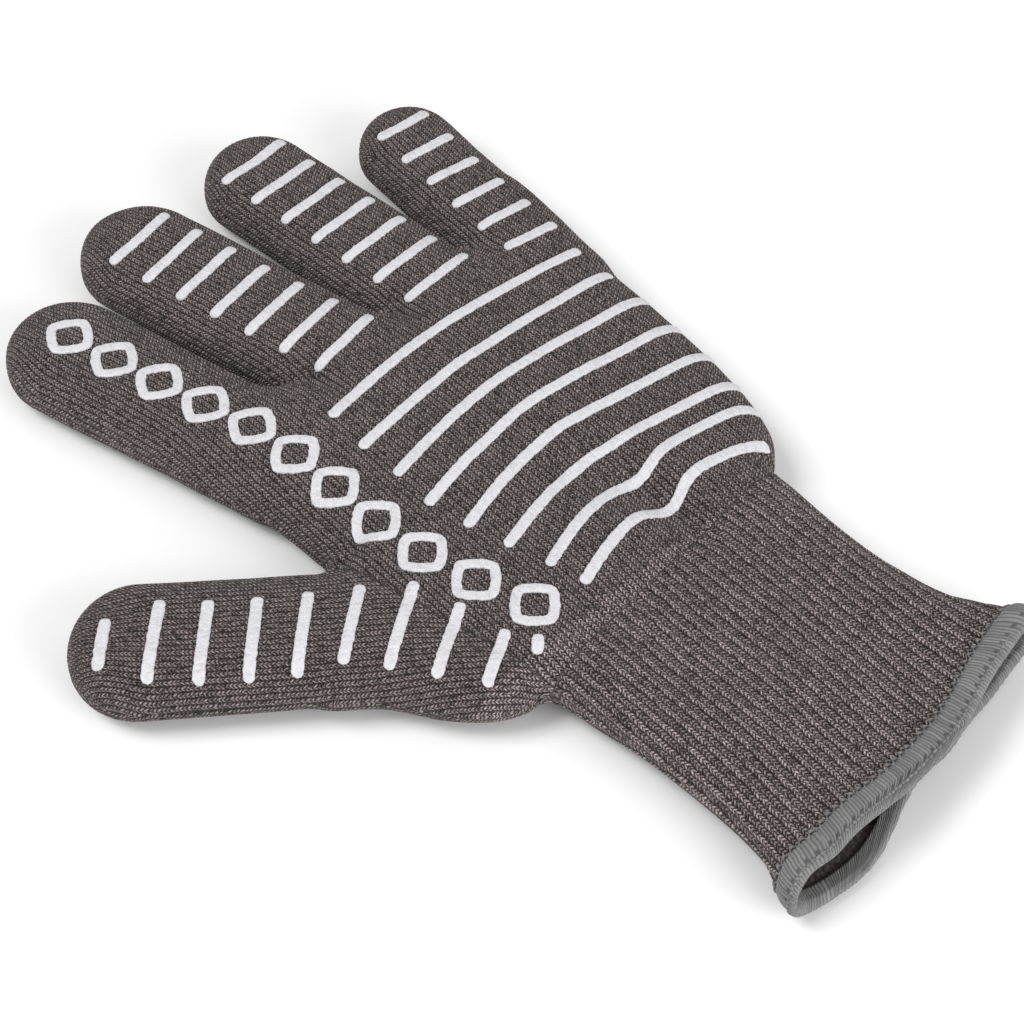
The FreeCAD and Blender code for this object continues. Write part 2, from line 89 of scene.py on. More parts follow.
def bump_at(x, y, centre, across, along, turn=0.0):
    """A round hill of height 1, across and along wide, turned by turn degrees."""
    dx, dy = x - centre[0], y - centre[1]
    c, s = math.cos(math.radians(turn)), math.sin(math.radians(turn))
    return np.exp(-(((dx * c + dy * s) / across) ** 2) - ((-dx * s + dy * c) / along) ** 2)


def noise(x, y, size, seed):
    """Smooth random relief between -1 and 1, about size across."""
    lattice = np.random.default_rng(seed).uniform(-1, 1, (LATTICE, LATTICE))
    fx, fy = x / size + LATTICE_START[0], y / size + LATTICE_START[1]
    ix, iy = np.floor(fx).astype(int), np.floor(fy).astype(int)
    tx, ty = smoothstep(fx - ix), smoothstep(fy - iy)

    def at(i, j):
        return lattice[(ix + i) % LATTICE, (iy + j) % LATTICE]

    low = at(0, 0) * (1 - tx) + at(1, 0) * tx
    high = at(0, 1) * (1 - tx) + at(1, 1) * tx
    return low * (1 - ty) + high * ty


def segment_distance(x, y, start, end):
    """Distance from each point to one straight stretch."""
    dx, dy = end[0] - start[0], end[1] - start[1]
    t = np.clip(((x - start[0]) * dx + (y - start[1]) * dy) / (dx * dx + dy * dy), 0, 1)
    return np.hypot(x - start[0] - t * dx, y - start[1] - t * dy)


def rounded(points, steps=6):
    """A closed Catmull-Rom curve through the points."""
    p = np.array(points, float)
    before, after, beyond = np.roll(p, 1, 0), np.roll(p, -1, 0), np.roll(p, -2, 0)
    out = []
    for t in np.arange(steps) / steps:
        linear = (after - before) * t
        square = (2 * before - 5 * p + 4 * after - beyond) * t**2
        cube = (3 * p - before - 3 * after + beyond) * t**3
        out.append(0.5 * (2 * p + linear + square + cube))
    return np.stack(out, 1).reshape(-1, 2)


def outline_distance(x, y, outline):
    """Signed distance to a closed outline, negative inside."""
    nearest = np.full(x.shape, FAR)
    inside = np.zeros(x.shape, bool)
    for start, end in zip(outline, np.roll(outline, -1, 0)):
        nearest = np.minimum(nearest, segment_distance(x, y, start, end))
        if start[1] != end[1]:
            crosses = (start[1] > y) != (end[1] > y)
            at = (end[0] - start[0]) * (y - start[1]) / (end[1] - start[1]) + start[0]
            inside ^= crosses & (x < at)
    return np.where(inside, -nearest, nearest)


# ---- what the frame says
class Digit:
    """One digit: its knuckle, lean, half width, length past the knuckle and middle hinge distance."""

    def __init__(self, name):
        self.name = name
        knuckle, middle = joints[f"{name}_knuckle"], joints[f"{name}_middle_flex"]
        self.x, self.y = (value / MM for value in knuckle["pos_m"][:2])
        self.across = np.array(knuckle["axis"][:2])
        self.along = np.array([-self.across[1], self.across[0]])
        reach = np.array(middle["pos_m"][:2]) / MM - (self.x, self.y)
        self.hinge = float(reach @ self.along)
        corners = []
        for part in ("base", "tip"):
            for vertex in frame["nodes"][f"{name}_{part}_shell"].data.vertices:
                corners.append((vertex.co.x / MM, vertex.co.y / MM))
        side, length = self.local(*np.array(corners).T)
        self.half = float(np.abs(side).max())
        self.length = float(length.max())

    def local(self, x, y):
        dx, dy = x - self.x, y - self.y
        return tuple(dx * way[0] + dy * way[1] for way in (self.across, self.along))

    def world(self, side, length):
        (ax, ay), (bx, by) = self.across, self.along
        return self.x + side * ax + length * bx, self.y + side * ay + length * by


digits = {name: Digit(name) for name in DIGITS}
wrist = joints["wrist_flex"]["pos_m"]
WRIST_Y = wrist[1] / MM
cuff_low, cuff_high = (np.array(corner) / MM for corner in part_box("cuff_shell"))

# where each knuckle zone starts and ends, along the digit from its knuckle; webs stay before the start
KNUCKLE_ZONES = {
    "thumb": (-13.0, 13.0),
    "index": (-14.0, 14.0),
    "middle": (-13.5, 14.0),
    "ring": (-12.0, 14.0),
    "little": (-5.0, 13.0),
}
MIDDLE_REACH = 12.4  # half of the middle hinge's zone
WRIST_ZONE = (WRIST_Y + 15, WRIST_Y - 15)

# ---- outline and heights
RIM_SLOPE = math.tan(math.radians(7.4))
RIM_PIVOT = (34.0, -147.6)
THUMB_WEB = (-37.5, 5.0)
WRIST_NOTCH = (-20.5, -67.5)
LITTLE_NOTCH = (79.0, -57.0)

PALM_OUTLINE = [
    (107, 86), (106.2, 62), (102.5, 45), (101.2, 24), (99.6, 4),
    (97, -18), (94, -33), (88.8, -46), (82.6, -53), LITTLE_NOTCH,
    (77.3, -84), (78.6, -108), (82, -120), (88.6, -131), (93.5, -142),
    (93, -162), (-21, -175), (-19.5, -153), (-14.8, -139), (-13.8, -122),
    (-15, -98), (-17.8, -78), WRIST_NOTCH, (-28.5, -65.5), (-36.8, -61),
    (-46, -51), (-55, -37), (-66, -25), (-54, -6), THUMB_WEB,
    (-35.6, 15), (-36.6, 31), (-38.8, 46), (-42, 66), (-30, 74),
    (-10, 69), (3.5, 64), (20, 72), (39.5, 67), (60, 74),
    (78.5, 71.5), (94, 80),
]
DIGIT_ROOT = -34.0  # where a digit's outline starts, inside the palm
TIP_EXTRA = 2.2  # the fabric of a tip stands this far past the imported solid

xs = np.arange(-117, 118.01, GRID)
ys = np.arange(-165, 164.01, GRID)
X, Y = np.meshgrid(xs, ys, indexing="ij")


def digit_distance(digit):
    """Signed distance to a digit's outline: a capsule, a little fuller past its middle."""
    side, length = digit.local(X, Y)
    radius = digit.half * (0.985 + 0.02 * np.sin(length / digit.length * 2.6 + 0.3))
    reach = np.clip(length, DIGIT_ROOT, digit.length + TIP_EXTRA - digit.half)
    return np.hypot(side, length - reach) - radius


# sideways rounding of the fold, less on the cuff and at the fingertips
EDGE_ROUNDING = 14.5
PALM_ROUNDING = 2.0
CUFF_SHARPER = 1.5
TIP_SHARPER = 5.5
# heights above the surface it lies on, and of the upper and lower layers from the mid height
MID_HEIGHT = 9.4
CLEAR_OF_FLOOR = 0.75
UPPER_HEIGHT = 10.4
PALM_RISE = 4.0
CUFF_HEIGHT = 9.9
RIM_FLAT = 1.7
CREASE_TO_THUMB = (THUMB_WEB, WRIST_NOTCH, 0.9, 4.0)  # two ends, depth, half width
CREASE_AT_CUFF = (WRIST_NOTCH, LITTLE_NOTCH, 1.0, 5.0)

# hills and hollows of the printed side: rise, place, half widths across and along, turn in degrees
PALM_RELIEF = [
    (-3.6, (43, -47), 7.0, 15, 4),  # the furrow towards the wrist
    (-1.2, (33, -25), 8, 14, 20),
    (1.8, (56, -38), 11, 15, 0),  # the swellings beside it
    (1.2, (20, -42), 11, 15, 0),
]
RIM_FLARE = (2.4, (86, -140), 14, 12, 0)
# gathers just below the webs: place, depth and turn
GATHERS = [
    ((3, 57), 2.2, 6), ((40, 60), 2.0, 0),
    ((78, 64), 2.0, -6), ((-31, 2), 2.4, -78),
]
GATHER_ACROSS, GATHER_ALONG = 3.0, 9.0


def hill(values):
    rise, place, across, along, turn = values
    return rise * bump_at(X, Y, place, across, along, turn)


def crease(values):
    start, end, deep, wide = values
    return deep * np.exp(-((segment_distance(X, Y, start, end) / wide) ** 2))


def make_fields():
    """Depth inside the outline, edge rounding, mid height, and heights above and below it."""
    palm = outline_distance(X, Y, rounded(PALM_OUTLINE))
    fingers = np.full(X.shape, FAR)
    for digit in digits.values():
        fingers = smooth_min(fingers, digit_distance(digit), 1.2)
    depth = -smooth_min(palm, fingers, 5.0)
    depth = depth + 0.25 * noise(X, Y, 14, 3)

    on_cuff = smoothstep((WRIST_Y + 14 - Y) / 30)
    rim_near = smoothstep((-105 - Y) / 45)
    across = np.clip((X - cuff_low[0]) / (cuff_high[0] - cuff_low[0]), 0, 1)
    palm_hill = bump_at(X, Y, (34, 18), 62, 62)
    blunt = np.zeros(X.shape)
    for digit in digits.values():
        side, length = digit.local(X, Y)
        tip = smoothstep((length - digit.length + 1.5 * digit.half) / (1.5 * digit.half))
        blunt = np.maximum(blunt, tip * (np.abs(side) < digit.half + 3))
    edge = EDGE_ROUNDING + PALM_ROUNDING * palm_hill - CUFF_SHARPER * on_cuff - TIP_SHARPER * blunt
    middle = MID_HEIGHT - 0.4 * rim_near
    # the lower layer lifts off the surface at the rim, most on the far side
    low = middle - CLEAR_OF_FLOOR - rim_near * (1.5 + 1.9 * smoothstep((across - 0.35) / 0.3))
    high = UPPER_HEIGHT + PALM_RISE * palm_hill
    high += on_cuff * (CUFF_HEIGHT - high)
    high -= rim_near * (RIM_FLAT + 2.2 * np.exp(-(((across - 0.62) / 0.22) ** 2)))
    high += hill(RIM_FLARE)
    for values in PALM_RELIEF:
        high += hill(values)
    high -= crease(CREASE_TO_THUMB)
    high -= crease(CREASE_AT_CUFF)
    for place, deep, turn in GATHERS:
        high -= deep * bump_at(X, Y, place, GATHER_ACROSS, GATHER_ALONG, turn)
    # slack of the lying fabric
    high += 0.55 * noise(X, Y, 30, 5) + 0.3 * noise(X, Y, 13, 6)
    high += on_cuff * 0.5 * noise(X, Y * 0.35, 12, 8)
    return {"depth": depth, "edge": edge, "middle": middle, "high": high, "low": low}


fields = make_fields()


def sample(name, x, y):
    """A field's value between its grid points."""
    values = fields[name]
    fx = np.clip((x - xs[0]) / GRID, 0, len(xs) - 1.001)
    fy = np.clip((y - ys[0]) / GRID, 0, len(ys) - 1.001)
    ix, iy = fx.astype(int), fy.astype(int)
    tx, ty = fx - ix, fy - iy
    near = values[ix, iy] * (1 - tx) + values[ix + 1, iy] * tx
    far = values[ix, iy + 1] * (1 - tx) + values[ix + 1, iy + 1] * tx
    return near * (1 - ty) + far * ty


ROUNDNESS = 2.3  # 2 is an ellipse, more is squarer


def shape(x, y, z, inset=0.0):
    """Below 0 inside the glove, above 0 outside; inset moves the surface inwards."""
    a = np.clip(1 - (sample("depth", x, y) - inset) / sample("edge", x, y), 0, None)
    rise = z - sample("middle", x, y)
    reach = np.where(rise > 0, sample("high", x, y), sample("low", x, y)) - inset
    b = np.abs(rise) / reach
    return (a**ROUNDNESS + b**ROUNDNESS) ** (1 / ROUNDNESS) - 1


def top_height(x, y):
    a = np.clip(1 - sample("depth", x, y) / sample("edge", x, y), 0, 1)
    return sample("middle", x, y) + sample("high", x, y) * (1 - a**ROUNDNESS) ** (1 / ROUNDNESS)


def slope(x, y, step=0.6):
    """The surface's upward normal on the printed side."""
    dx = (top_height(x + step, y) - top_height(x - step, y)) / (2 * step)
    dy = (top_height(x, y + step) - top_height(x, y - step)) / (2 * step)
    n = np.stack([-dx, -dy, np.ones_like(dx)], -1)
    return n / np.linalg.norm(n, axis=-1, keepdims=True)


# how far each layer's rim swings from the straight line: swing, where across the cuff, half width
UPPER_SWING = [(-4.9, 34, 27)]
LOWER_SWING = [(-5.6, 6, 19), (0.5, 36, 8), (-1.0, 66, 13), (-1.8, 46, 9)]
LOWER_OUT = -0.6


def swing_at(x, swings):
    return sum(swing * np.exp(-(((x - place) / wide) ** 2)) for swing, place, wide in swings)


def rim_line(x, upper):
    """The cuff's end, for the upper (1) or lower (0) layer; the lower one wanders outwards."""
    line = RIM_PIVOT[1] + (x - RIM_PIVOT[0]) * RIM_SLOPE
    top = 0.5 * np.sin(x / 13.0) + 0.3 * np.sin(x / 5.1 + 1)
    top = top + swing_at(x, UPPER_SWING) + 2.6 * smoothstep((-2 - x) / 14)
    bottom = swing_at(x, LOWER_SWING) + LOWER_OUT
    return line + top * upper + bottom * (1 - upper)


def is_upper(x, y, z):
    return smoothstep((z - sample("middle", x, y)) / 5 + 0.5)


# ---- surface extraction
CORNERS = [(i, j, k) for i in (0, 1) for j in (0, 1) for k in (0, 1)]
EDGES = [
    (a, b)
    for a in range(8)
    for b in range(a + 1, 8)
    if sum(abs(p - q) for p, q in zip(CORNERS[a], CORNERS[b])) == 1
]


def surface_net(step, inset=0.0):
    """Vertices and quads of the surface, by surface nets on a grid and a pull onto the true surface."""
    gx, gy = np.arange(xs[0], xs[-1], step), np.arange(ys[0], ys[-1], step)
    gz = np.arange(-1.5, 27.0, step)
    px, py, pz = np.meshgrid(gx, gy, gz, indexing="ij", sparse=True)
    value = shape(px, py, pz, inset).astype(np.float32)
    inside = value < 0
    nx, ny, nz = value.shape
    count = sum(
        inside[i : nx - 1 + i, j : ny - 1 + j, k : nz - 1 + k].astype(np.uint8) for i, j, k in CORNERS
    )
    active = (count > 0) & (count < 8)
    cells = np.argwhere(active)
    index = np.full(active.shape, -1, np.int32)
    index[active] = np.arange(len(cells))
    row, column, layer = cells.T
    corner = np.stack([value[row + i, column + j, layer + k] for i, j, k in CORNERS], 1)
    total, hits = np.zeros((len(cells), 3)), np.zeros(len(cells))
    for a, b in EDGES:
        va, vb = corner[:, a], corner[:, b]
        crossed = (va < 0) != (vb < 0)
        t = np.where(crossed, va / np.where(crossed, va - vb, 1), 0)[:, None]
        total += crossed[:, None] * (np.array(CORNERS[a]) * (1 - t) + np.array(CORNERS[b]) * t)
        hits += crossed
    points = (cells + total / hits[:, None]) * step + (gx[0], gy[0], gz[0])
    quads = []
    for axis in range(3):
        first = inside[tuple(slice(0, -1) if d == axis else slice(1, -1) for d in range(3))]
        second = inside[tuple(slice(1, None) if d == axis else slice(1, -1) for d in range(3))]
        changed = np.argwhere(first != second)
        flip = first[tuple(changed.T)]
        others = [d for d in range(3) if d != axis]
        ring = []
        for da, db in ((0, 0), (1, 0), (1, 1), (0, 1)):
            cell = changed.copy()
            cell[:, others] += (da, db)
            ring.append(index[tuple(cell.T)])
        ring = np.stack(ring, 1)
        if axis == 1:
            flip = ~flip
        ring[~flip] = ring[~flip][:, ::-1]
        quads.append(ring)
    return pull(points, inset), np.concatenate(quads)


def pull(points, inset):
    """Moves points onto the true surface and returns them."""
    for _ in range(2):
        value, normal, steep = gradient(points, inset)
        points = points - normal * np.clip(value / steep, -0.5, 0.5)[:, None]
    return points


def gradient(points, inset=0.0, step=0.3):
    """Value of shape, its direction of growth and its steepness, at the points."""
    slopes = []
    for offset in np.eye(3) * step:
        plus = shape(*(points + offset).T, inset)
        minus = shape(*(points - offset).T, inset)
        slopes.append((plus - minus) / (2 * step))
    slopes = np.stack(slopes, 1)
    steep = np.maximum(np.linalg.norm(slopes, axis=1), 1e-3)
    return shape(*points.T, inset), slopes / steep[:, None], steep


# ---- knit coordinates
WALE = 1.75  # width of one column of stitches
COURSE = 1.15  # height of one stitch
RIB = 3.7  # width of one rib of the cuff
TIP_GATHER = 0.35  # how much closer the columns run at a tip
KNIT_SINK = 0.2  # how far the knit's valleys lie under the plain surface
PLAIN_RELIEF = 0.3
RIB_RELIEF = 0.6
# length of the rounded edge's arc from its top, for an average height over edge rounding
ARC_ANGLES = np.linspace(0, math.pi / 2, 64)
ARC_SQUASH = 0.66
ARC_SPEED = np.hypot(np.cos(ARC_ANGLES), ARC_SQUASH * np.sin(ARC_ANGLES))
ARC = np.concatenate([[0], np.cumsum((ARC_SPEED[1:] + ARC_SPEED[:-1]) / 2 * np.diff(ARC_ANGLES))])


def unrolled(x, y):
    """Plan position moved outwards by what the rounded edge hides, so stitches keep their width there."""
    step = 1.0
    gx = sample("depth", x + step, y) - sample("depth", x - step, y)
    gy = sample("depth", x, y + step) - sample("depth", x, y - step)
    size = np.maximum(np.hypot(gx, gy), 1e-6)
    edge = sample("edge", x, y)
    a = np.clip(1 - sample("depth", x, y) / edge, 0, 1)
    extra = edge * (np.interp(np.arcsin(a), ARC_ANGLES, ARC) - a)
    return x - gx / size * extra, y - gy / size * extra


def on_thumb_side(x, y):
    """Whether a place is on the thumb's side of the line from its web to the wrist notch."""
    (x0, y0), (x1, y1) = THUMB_WEB, WRIST_NOTCH
    line = ((x - x0) * (y1 - y0) - (y - y0) * (x1 - x0)) / math.hypot(x1 - x0, y1 - y0)
    side, length = digits["thumb"].local(x, y)
    half = digits["thumb"].half
    past_web = (length > -14) & (np.abs(side) < half + 6) & (x < THUMB_WEB[0] + 8)
    return (line > 0) & (y < THUMB_WEB[1] + 1) | past_web & (line > -30) & (side < half + 3)


def tip_share(digit, length):
    """0 along a digit, rising to 1 at its end."""
    reach = digit.half * 1.1
    return smoothstep((length - digit.length + reach) / reach)


def knit_coordinates(x, y):
    """Columns (wales) and rows (courses) of stitches at a plan position, and 1 where the cuff is ribbed."""
    ux, uy = unrolled(x, y)
    u, v = ux.copy(), uy.copy()
    owner = finger_owner(x, y)
    for number, name in enumerate(DIGITS[1:], 1):
        digit = digits[name]
        mine = owner == number
        lean = digit.across[1] / digit.across[0]
        side, length = digit.local(ux, uy)
        reach = length + 12
        ramp = np.where(reach > 0, reach * reach / (reach + 16), 0)
        bent_u = ux + lean * ramp + TIP_GATHER * tip_share(digit, length) * side
        bent_v = uy - lean * (ux - digit.x) * smoothstep((length + 25) / 35)
        u, v = np.where(mine, bent_u, u), np.where(mine, bent_v, v)
    thumb = digits["thumb"]
    side, length = thumb.local(ux, uy)
    here = on_thumb_side(x, y)
    u = np.where(here, side * (1 + TIP_GATHER * tip_share(thumb, length)) + 0.6, u)
    v = np.where(here, length, v)
    (x0, y0), (x1, y1) = WRIST_NOTCH, LITTLE_NOTCH
    ribbed = y < y0 + (x - x0) * (y1 - y0) / (x1 - x0)
    fan = (ux - 29) * (1 - 0.05 * smoothstep((-115 - y) / 40)) + 0.012 * (y + 75) * np.sin(ux / 30)
    u = np.where(ribbed, fan / RIB, u / WALE)
    return u, np.where(ribbed, uy, v) / COURSE, ribbed.astype(float)


def finger_owner(x, y):
    """Number of the finger whose axis is nearest, counted in its own half widths."""
    best, owner = np.full(x.shape, FAR), np.zeros(x.shape, int)
    for number, name in enumerate(DIGITS[1:], 1):
        side = digits[name].local(x, y)[0]
        share = np.abs(side) / digits[name].half
        closer = share < best
        best, owner = np.where(closer, share, best), np.where(closer, number, owner)
    return owner


def relief(knit):
    """How far the knit stands out at knit coordinates, in millimetres."""
    u, _, ribbed = knit
    wale = 0.5 + 0.5 * np.cos(2 * math.pi * (u - 0.5))
    plain = PLAIN_RELIEF * wale**0.7
    rib = RIB_RELIEF * wale**0.8
    return np.where(ribbed > 0.5, rib, plain)


# ---- meshes
def add_object(name, data):
    made = bpy.data.objects.new(name, data)
    bpy.context.scene.collection.objects.link(made)
    return made


def new_mesh(name, points, faces, material, slot, knit=None):
    """A piece from points in millimetres."""
    mesh = bpy.data.meshes.new(name)
    points, faces = np.reshape(points, (-1, 3)), np.asarray(faces)
    size = faces.shape[1]
    mesh.vertices.add(len(points))
    mesh.vertices.foreach_set("co", (points * MM).astype(np.float32).ravel())
    mesh.loops.add(faces.size)
    mesh.loops.foreach_set("vertex_index", faces.astype(np.int32).ravel())
    mesh.polygons.add(len(faces))
    mesh.polygons.foreach_set("loop_start", np.arange(0, faces.size, size, dtype=np.int32))
    mesh.polygons.foreach_set("use_smooth", np.ones(len(faces), bool))
    mesh.update(calc_edges=True)
    mesh.validate()
    if knit is not None:
        attribute = mesh.attributes.new("knit", "FLOAT_VECTOR", "POINT")
        attribute.data.foreach_set("vector", np.stack(knit, 1).astype(np.float32).ravel())
    mesh.materials.append(material)
    piece = add_object(name, mesh)
    return piece


def tube_quads(rows, ring, closed=True):
    """Quads of a tube whose points lie in rows of ring points each; a closed tube joins its ends."""
    index = np.arange(rows * ring).reshape(rows, ring)
    this_row = index if closed else index[:-1]
    next_row = np.roll(index, -1, 0) if closed else index[1:]
    sides = [this_row, np.roll(this_row, -1, 1), np.roll(next_row, -1, 1), next_row]
    return np.stack(sides, -1).reshape(-1, 4)


def tidy_normals(piece, fill=False):
    """Turns a piece's faces outwards, and with fill first closes its open ends."""
    work = bmesh.new()
    work.from_mesh(piece.data)
    if fill:
        bmesh.ops.holes_fill(work, edges=[edge for edge in work.edges if edge.is_boundary], sides=0)
    bmesh.ops.recalc_face_normals(work, faces=work.faces)
    work.to_mesh(piece.data)
    work.free()


def along_digit(digit, length, height=14.0):
    """A point on a digit's axis, in metres."""
    x, y = digit.world(0, length)
    return (x * MM, y * MM, height * MM)


def follow_knuckle(piece, digit):
    start, end = KNUCKLE_ZONES[digit.name]
    along_digit(digit, start)
    along_digit(digit, end)
    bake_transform(piece)


def follow_middle(piece, digit):
    start, end = digit.hinge - MIDDLE_REACH, digit.hinge + MIDDLE_REACH
    along_digit(digit, start)
    along_digit(digit, end)
    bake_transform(piece)


def follow_wrist(piece):
    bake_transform(piece)


def digit_split(digit):
    """Where a digit's root piece ends and its end piece starts."""
    return 0.5 * (KNUCKLE_ZONES[digit.name][1] + digit.hinge - MIDDLE_REACH)


def region_of(x, y, z):
    """Piece number of each place: 0 palm, 1 back, 2 cuff, then a root and an end piece for each digit."""
    region = np.where(z > sample("middle", x, y), 0, 1)
    owner = finger_owner(x, y)
    for number, name in enumerate(DIGITS):
        digit = digits[name]
        side, length = digit.local(x, y)
        begins = KNUCKLE_ZONES[name][0] - 1.2
        if name == "thumb":
            mine = (np.abs(side) < digit.half + 4) & (length > begins)
        else:
            mine = (owner == number) & (length > begins) & (y > THUMB_WEB[1] + 20)
        region = np.where(mine, 3 + 2 * number, region)
        region = np.where(mine & (length > digit_split(digit)), 4 + 2 * number, region)
    return np.where(y < WRIST_ZONE[0] + 1.5, 2, region)


def cut_out(points, quads, keep, knit=None):
    """The kept faces with only the vertices that they use."""
    quads = quads[keep]
    used = np.unique(quads)
    renumber = np.zeros(len(points), int)
    renumber[used] = np.arange(len(used))
    return points[used], renumber[quads], None if knit is None else [k[used] for k in knit]


def layer_pieces(prefix, points, quads, knit, finish_of, layer):
    """One piece per region; the palm and back pieces ride with the hand, the others stay in place."""
    centre = points[quads].mean(1)
    region = region_of(*centre.T)
    past = centre[:, 1] - rim_line(centre[:, 0], is_upper(*centre.T))
    shown = past > 1.0
    names = ["palm", "back", "cuff"] + [f"{name}_{part}" for name in DIGITS for part in ("base", "tip")]
    for number, name in enumerate(names):
        keep = (region == number) & shown
        if not keep.any():
            continue
        part_points, part_quads, part_knit = cut_out(points, quads, keep, knit)
        piece = new_mesh(f"{prefix}_{name}", part_points, part_quads, *finish_of(name), part_knit)
        if name in ("palm", "back"):
            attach(piece, "hand")
            if name == "palm":
                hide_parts(f"hand_{layer}")
        elif name == "cuff":
            follow_wrist(piece)
            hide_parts(f"cuff_{layer}")
        else:
            digit = digits[name.split("_")[0]]
            (follow_knuckle if name.endswith("base") else follow_middle)(piece, digit)
            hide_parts(f"{name}_{layer}")


# ---- materials
class Graph:
    """A material and short ways to add nodes to it."""

    def __init__(self, name, roughness, sheen=0.0, specular=0.5):
        self.material = bpy.data.materials.new(name)
        self.material.use_nodes = True
        self.tree = self.material.node_tree
        self.shader = self.tree.nodes["Principled BSDF"]
        self.shader.inputs["Roughness"].default_value = roughness
        self.shader.inputs["Specular IOR Level"].default_value = specular
        self.shader.inputs["Sheen Weight"].default_value = sheen
        self.shader.inputs["Sheen Roughness"].default_value = 0.5

    def node(self, kind, **values):
        made = self.tree.nodes.new(kind)
        for name, value in values.items():
            setattr(made, name, value)
        return made

    def feed(self, socket, value):
        if isinstance(value, bpy.types.NodeSocket):
            self.tree.links.new(value, socket)
        else:
            socket.default_value = value

    def math(self, operation, a, b=0.0, c=0.0, clamp=False):
        made = self.node("ShaderNodeMath", operation=operation, use_clamp=clamp)
        for socket, value in zip(made.inputs, (a, b, c)):
            self.feed(socket, value)
        return made.outputs[0]

    def fit(self, value, scale, start, clamp=False):
        return self.math("MULTIPLY_ADD", value, scale, start, clamp)

    def times(self, a, b, clamp=False):
        return self.math("MULTIPLY", a, b, clamp=clamp)

    def minus(self, a, b, clamp=False):
        return self.math("SUBTRACT", a, b, clamp=clamp)

    def power(self, value, exponent):
        return self.math("POWER", value, exponent)

    def floor(self, value):
        return self.math("FLOOR", value)

    def vector(self, x, y, z=0.0):
        made = self.node("ShaderNodeCombineXYZ")
        for socket, value in zip(made.inputs, (x, y, z)):
            self.feed(socket, value)
        return made.outputs[0]

    def attribute(self, name):
        made = self.node("ShaderNodeAttribute", attribute_name=name)
        split = self.node("ShaderNodeSeparateXYZ")
        self.tree.links.new(made.outputs["Vector"], split.inputs[0])
        return split.outputs

    def speckle(self, vector):
        made = self.node("ShaderNodeTexWhiteNoise", noise_dimensions="3D")
        self.feed(made.inputs["Vector"], vector)
        return made.outputs["Value"]

    def noise(self, vector, scale, detail=2.0):
        made = self.node("ShaderNodeTexNoise")
        self.feed(made.inputs["Vector"], vector)
        made.inputs["Scale"].default_value = scale
        made.inputs["Detail"].default_value = detail
        return made.outputs["Fac"]

    def place(self):
        return self.node("ShaderNodeTexCoord").outputs["Object"]

    def ramp(self, factor, stops):
        made = self.node("ShaderNodeValToRGB")
        ramp = made.color_ramp
        for position, color in stops[2:]:
            ramp.elements.new(position)
        for element, (position, color) in zip(ramp.elements, stops):
            element.position = position
            element.color = (*color, 1)
        self.feed(made.inputs[0], factor)
        return made.outputs[0]

    def mix(self, kind, factor, a, b):
        made = self.node("ShaderNodeMix", data_type="RGBA", blend_type=kind)
        color_sockets = (made.inputs[0], made.inputs[6], made.inputs[7])
        for socket, value in zip(color_sockets, (factor, a, b)):
            self.feed(socket, value)
        return made.outputs[2]

    def shift(self, value, vector, scale, reach):
        """The value moved by up to half of reach either way, by smooth noise."""
        return self.fit(self.minus(self.noise(vector, scale, 2.0), 0.5), reach, value)

    def darken(self, color, shade):
        return self.mix("MULTIPLY", 1.0, color, self.vector(shade, shade, shade))

    def finish(self, color, height, distance):
        self.feed(self.shader.inputs["Base Color"], color)
        made = self.node("ShaderNodeBump")
        made.inputs["Distance"].default_value = distance
        made.inputs["Strength"].default_value = 1.0
        self.feed(made.inputs["Height"], height)
        self.tree.links.new(made.outputs[0], self.shader.inputs["Normal"])
        return self.material


def grey(level, warm=1.0):
    """A slightly warm grey of that linear level."""
    return (level * (1 + 0.24 * warm), level * (1 - 0.03 * warm), level * (1 - 0.06 * warm))


def stitch(graph, tilt=1.7):
    """Stitch relief (0 to 1), a random number for each stitch, and 1 on the sunk columns of the ribbing."""
    u, v, ribbed = graph.attribute("knit")
    place = graph.place()
    u = graph.shift(u, place, 420.0, 0.34)
    v = graph.shift(v, place, 520.0, 0.9)
    columns = graph.fit(ribbed, graph.math("ADD", u, 0.5), u)
    number = graph.floor(columns)
    off = graph.math("ABSOLUTE", graph.minus(graph.math("FRACT", columns), 0.5))
    outer = graph.power(graph.times(off, 2.0, clamp=True), 2.4)
    centre = graph.fit(graph.times(off, 7.0, clamp=True), 0.5, 0.5)
    leg = graph.times(graph.minus(1.0, outer, clamp=True), centre)
    row = graph.fit(off, tilt, v)
    dash = graph.math("SINE", graph.times(graph.math("FRACT", row), math.pi))
    height = graph.times(leg, graph.power(dash, 1.2))
    half = graph.floor(graph.times(columns, 2.0))
    random = graph.speckle(graph.vector(half, graph.floor(row)))
    even = graph.minus(1.0, graph.math("FLOORED_MODULO", number, 2.0))
    return height, random, graph.times(even, ribbed)


def knit_material(name, dark, middle, light, fleck):
    """Melange knit: every stitch has its own tone, with pale flecks; painted highlights light each stitch's
    crest and painted shade darkens the hollows between the stitches.
    """
    graph = Graph(name, roughness=0.8, sheen=0.08, specular=0.22)
    height, random, sunk = stitch(graph)
    place = graph.place()
    fibre = graph.noise(place, 2100.0, 3.0)
    tone = graph.fit(random, 0.6, graph.fit(fibre, 2.4, -0.98), clamp=True)
    stops = [(0.0, grey(dark)), (1.0, grey(fleck, 0.75)), (0.4, grey(middle)), (0.75, grey(light))]
    color = graph.ramp(tone, stops)
    # painted light: each stitch brightened along its crest, up to 1.79 times, and painted shade down to 0.04
    # in the hollows between stitches
    shade = graph.fit(graph.power(height, 1.4), 1.75, 0.04)
    # painted shade: the sunk columns of the ribbing a third darker
    shade = graph.times(shade, graph.fit(sunk, -0.33, 1.0))
    patches = graph.fit(graph.noise(place, 45.0, 3.0), 0.24, 0.88)
    shade = graph.times(shade, patches)
    color = graph.darken(color, shade)
    lift = graph.fit(fibre, 0.25, height)
    return graph.finish(color, lift, distance=0.00042)


